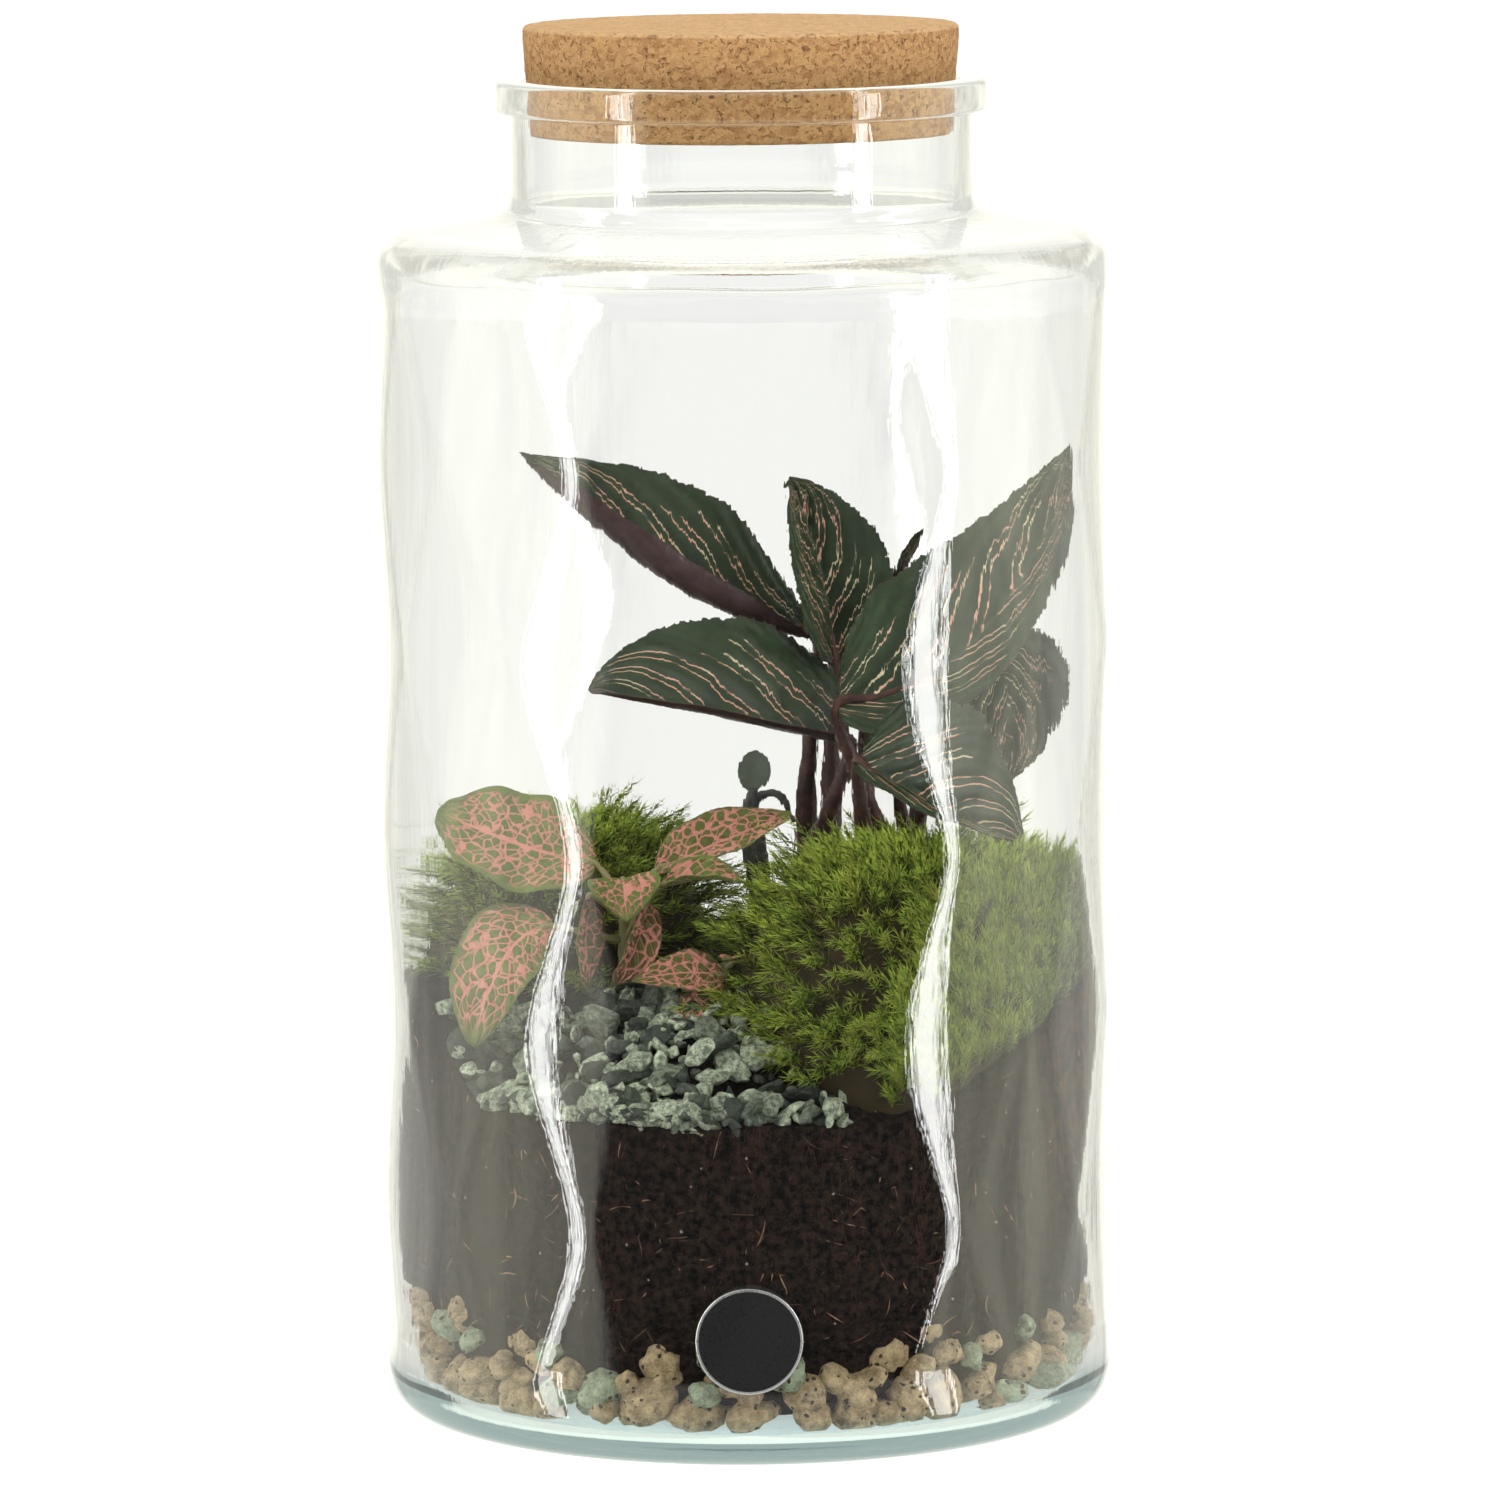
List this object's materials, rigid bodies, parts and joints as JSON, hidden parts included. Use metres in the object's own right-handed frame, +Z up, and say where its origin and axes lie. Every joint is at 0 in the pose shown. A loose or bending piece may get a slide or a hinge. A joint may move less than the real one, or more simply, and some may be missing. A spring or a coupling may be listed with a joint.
{
  "type": "glass plant terrarium",
  "caption": "Closed glass jar terrarium with a cork stopper, clay granules, soil, gravel, moss cushions, a striped-leaf plant and a net-veined plant.",
  "frame": {"origin": "middle of the jar's underside, on the surface it stands on", "axes": "+Z up along the jar's axis, -Y towards the front with the round label, +X to the right seen from the front"},
  "size_m": [0.1654, 0.166, 0.3151],
  "materials": {
    "glass": "clear pressed glass, faintly blue-green in the base",
    "cork": "agglomerate cork, matte",
    "label": "black satin label with a fine silver border",
    "clay": "porous baked clay, matte",
    "soil": "dark fibrous potting soil, damp",
    "gravel": "grey-green slate chips, tumbled edges",
    "moss": "soft dense star moss",
    "striped_leaf": "dark green satin leaf with fine pink stripes, purple-brown underneath",
    "veined_leaf": "green leaf with a pink net of veins, slightly quilted",
    "shoot": "dark grey-green young shoot, matte"
  },
  "bodies": {
    "root": {"glass_jar": "glass", "cork_stopper": "cork", "label_disc": "label", "drainage_granules": "clay", "potting_soil": "soil", "gravel_chips": "gravel", "moss_cushion_right": "moss", "moss_cushion_left": "moss", "calathea_leaf_1": "striped_leaf", "calathea_leaf_2": "striped_leaf", "calathea_leaf_3": "striped_leaf", "calathea_leaf_4": "striped_leaf", "calathea_leaf_5": "striped_leaf", "calathea_leaf_6": "striped_leaf", "calathea_leaf_7": "striped_leaf", "calathea_leaf_8": "striped_leaf", "fittonia_shoot_left": "veined_leaf", "fittonia_shoot_right": "veined_leaf", "young_shoot": "shoot"}
  },
  "joints": []
}
